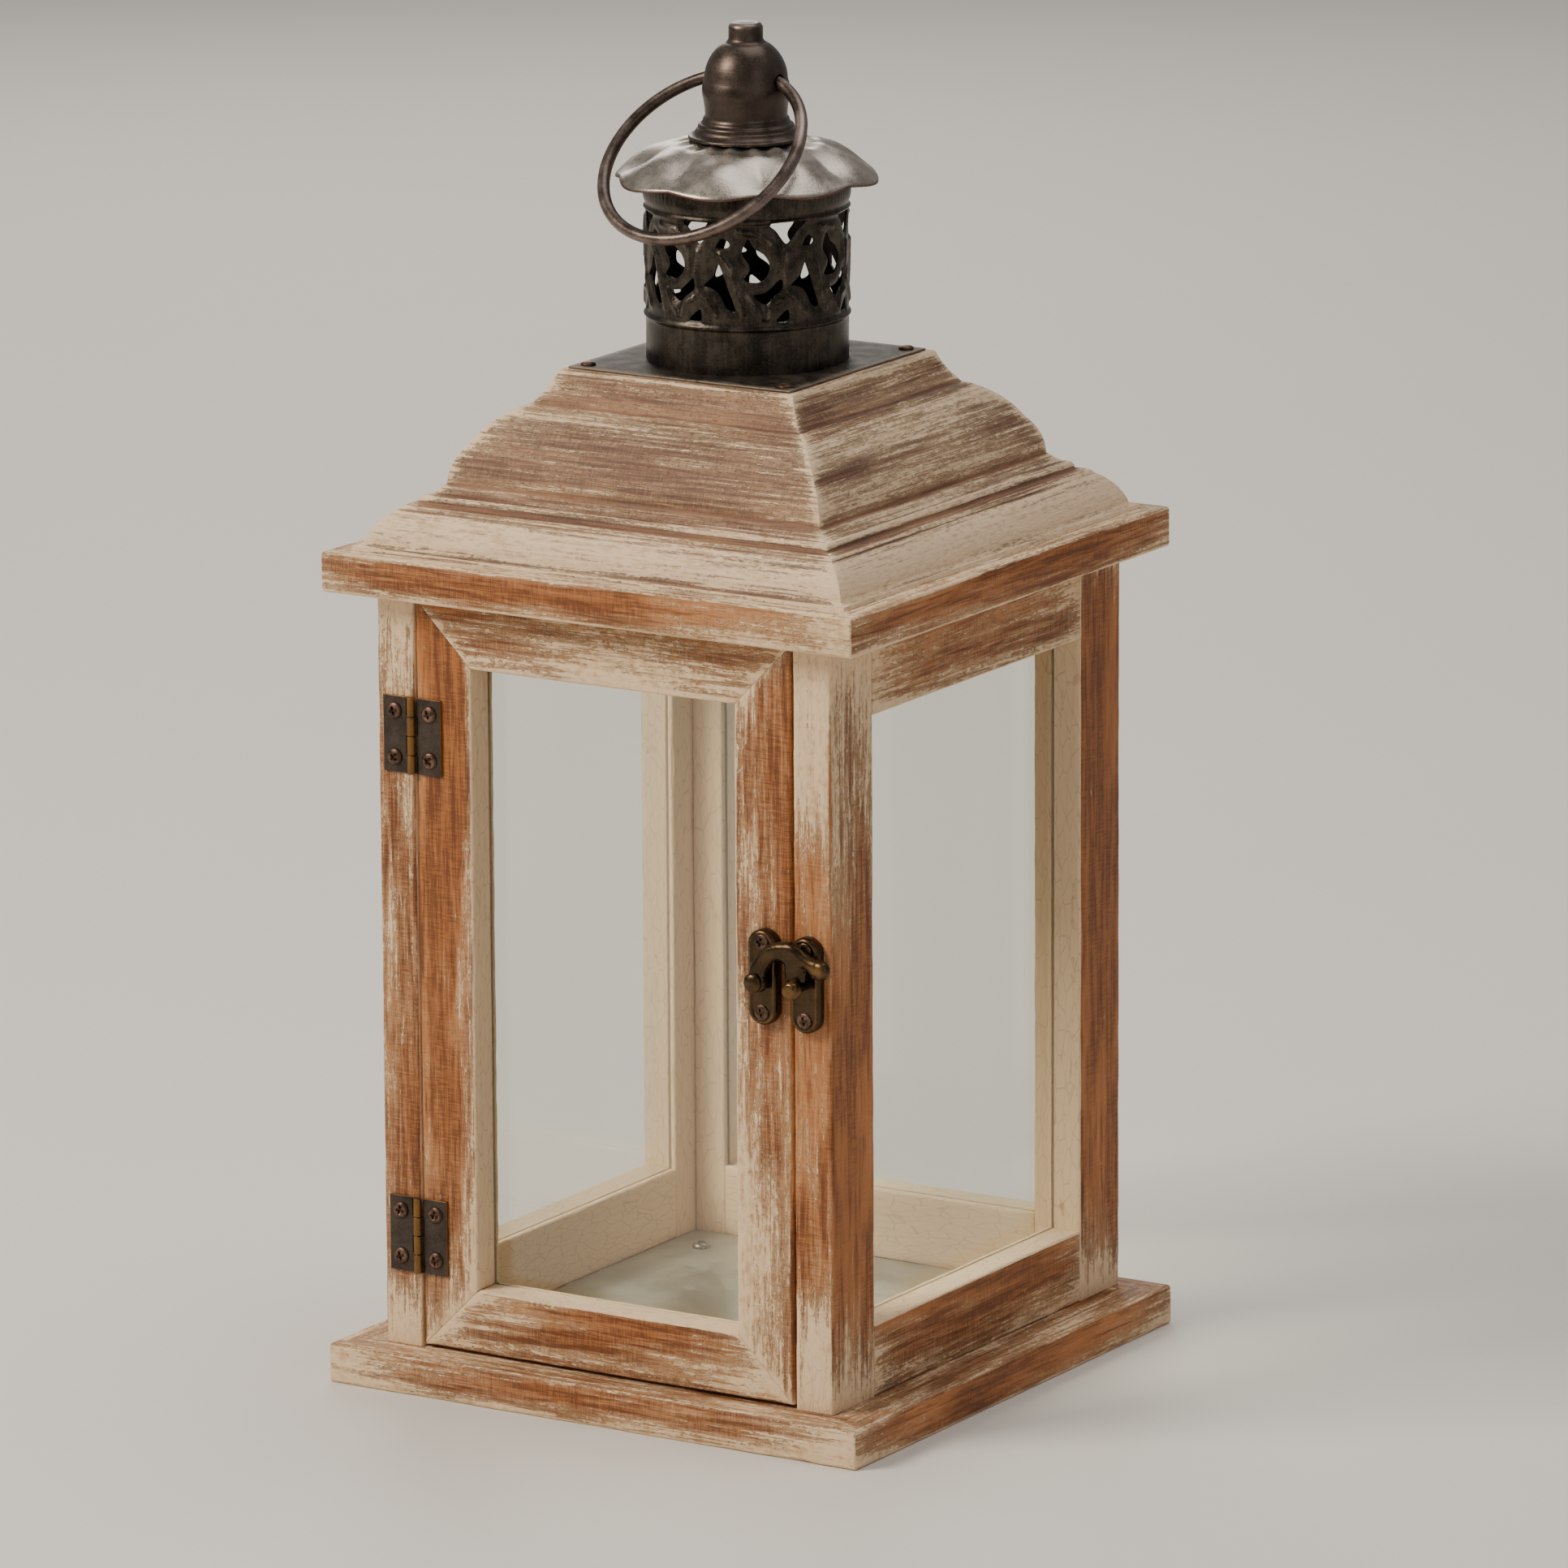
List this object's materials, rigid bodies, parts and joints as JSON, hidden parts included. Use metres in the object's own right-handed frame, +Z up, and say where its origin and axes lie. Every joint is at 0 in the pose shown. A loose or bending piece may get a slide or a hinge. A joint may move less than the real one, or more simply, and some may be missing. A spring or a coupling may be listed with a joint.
{
  "type": "hanging candle lantern",
  "caption": "Square wooden candle lantern with glazed sides, a hinged glazed door with a hook latch, a stepped roof and a pierced metal chimney with a hanging ring.",
  "frame": {"origin": "middle of the base board's underside", "axes": "+Z up to the hanging ring, the door faces -Y, the latch is on the +X side"},
  "size_m": [0.203, 0.2051, 0.4463],
  "materials": {
    "wood_base": "distressed whitewash",
    "wood_eave": "distressed whitewash",
    "wood_frame": "distressed whitewash",
    "wood_door": "distressed whitewash",
    "wood_roof": "distressed whitewash",
    "pane_glass": "clear",
    "galvanised": "galvanised",
    "zinc_screw": "zinc plated",
    "chimney_metal": "antique bronze",
    "nail_brown": "antique brown",
    "cap_metal": "weathered pewter",
    "finial_metal": "dark pewter",
    "hinge_metal": "antique bronze",
    "hinge_brass": "aged",
    "screw_brown": "aged",
    "latch_brass": "antique brass"
  },
  "bodies": {
    "lantern": {"base_board": "wood_base", "eave_board": "wood_eave", "left_stile_front": "wood_frame", "left_stile_back": "wood_frame", "left_rail_top": "wood_frame", "left_rail_bottom": "wood_frame", "right_stile_front": "wood_frame", "right_stile_back": "wood_frame", "right_rail_top": "wood_frame", "right_rail_bottom": "wood_frame", "back_stile_left": "wood_frame", "back_stile_right": "wood_frame", "back_rail_top": "wood_frame", "back_rail_bottom": "wood_frame", "roof_front": "wood_roof", "roof_right": "wood_roof", "roof_back": "wood_roof", "roof_left": "wood_roof", "left_glass": "pane_glass", "right_glass": "pane_glass", "back_glass": "pane_glass", "floor_plate": "galvanised", "floor_screws": "zinc_screw", "frame_screws_base": "zinc_screw", "frame_screws_eave": "zinc_screw", "finial_screw": "zinc_screw", "finial_washer": "zinc_screw", "chimney_plate": "chimney_metal", "chimney_drum": "chimney_metal", "chimney_nails": "nail_brown", "chimney_cap": "cap_metal", "finial_bell": "finial_metal", "hinge_low_frame_leaf": "hinge_metal", "hinge_high_frame_leaf": "hinge_metal", "hinge_low_pin": "hinge_brass", "hinge_high_pin": "hinge_brass", "hinge_screws_frame": "screw_brown", "latch_screws_frame": "screw_brown", "latch_keeper": "latch_brass"},
    "door": {"door_stile_hinge": "wood_door", "door_stile_latch": "wood_door", "door_rail_top": "wood_door", "door_rail_bottom": "wood_door", "door_glass": "pane_glass", "hinge_low_door_leaf": "hinge_metal", "hinge_high_door_leaf": "hinge_metal", "hinge_screws_door": "screw_brown", "latch_plate": "latch_brass", "latch_rivet": "latch_brass", "latch_screws_door": "screw_brown"},
    "latch_arm": {"latch_hook": "latch_brass"},
    "ring": {"hanging_ring": "finial_metal"}
  },
  "joints": [
    {"name": "door_swing", "type": "hinge", "parent": "lantern", "child": "door", "pos_m": [-0.0723, -0.09145, 0.1389], "axis": [0, 0, -1], "range_deg": [0, 160]},
    {"name": "latch_swing", "type": "hinge", "parent": "door", "child": "latch_arm", "pos_m": [0.0621, -0.0964, 0.1555], "axis": [0, -1, 0], "range_deg": [0, 280]},
    {"name": "ring_swing", "type": "hinge", "parent": "lantern", "child": "ring", "pos_m": [0, 0, 0.4273], "axis": [-0.9969, 0.0785, 0], "range_deg": [0, 264]}
  ]
}
